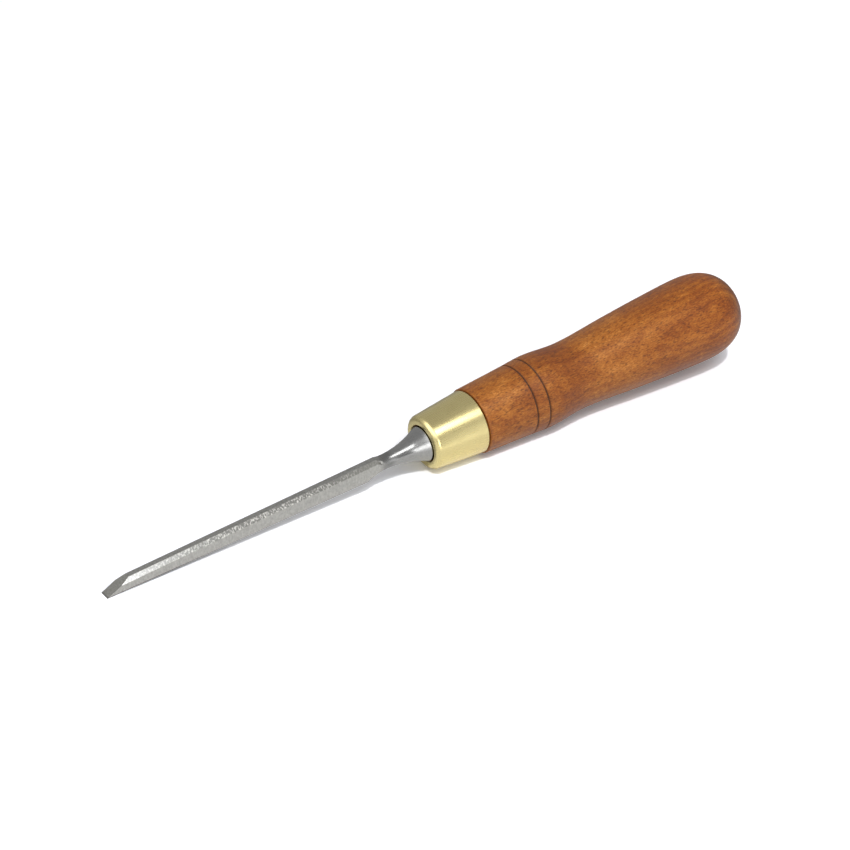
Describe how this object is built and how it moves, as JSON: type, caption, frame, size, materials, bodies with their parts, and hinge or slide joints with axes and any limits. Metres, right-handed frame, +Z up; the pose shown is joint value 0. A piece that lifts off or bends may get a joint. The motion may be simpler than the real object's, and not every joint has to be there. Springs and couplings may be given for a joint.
{
  "type": "bevel edge chisel",
  "caption": "Narrow bevel edge woodworking chisel: ground steel blade with round neck and bolster, tapered brass ferrule, turned hardwood handle with burnt grooves and a domed butt.",
  "frame": {"origin": "on the bench, under the middle of the chisel's box as it lies there with its flat back down", "axes": "+X from the cutting edge towards the butt, +Z up from the bench, +Y across the blade's width"},
  "size_m": [0.2596, 0.0316, 0.0347],
  "materials": {
    "ground_steel": "surface ground across the faces, polished on the neck",
    "satin_brass": "drawn and buffed to a satin gloss",
    "stained_hornbeam": "turned, stained orange brown and waxed to a satin sheen, grooves burnt dark"
  },
  "bodies": {
    "root": {"blade": "ground_steel", "ferrule": "satin_brass", "handle": "stained_hornbeam"}
  },
  "joints": []
}
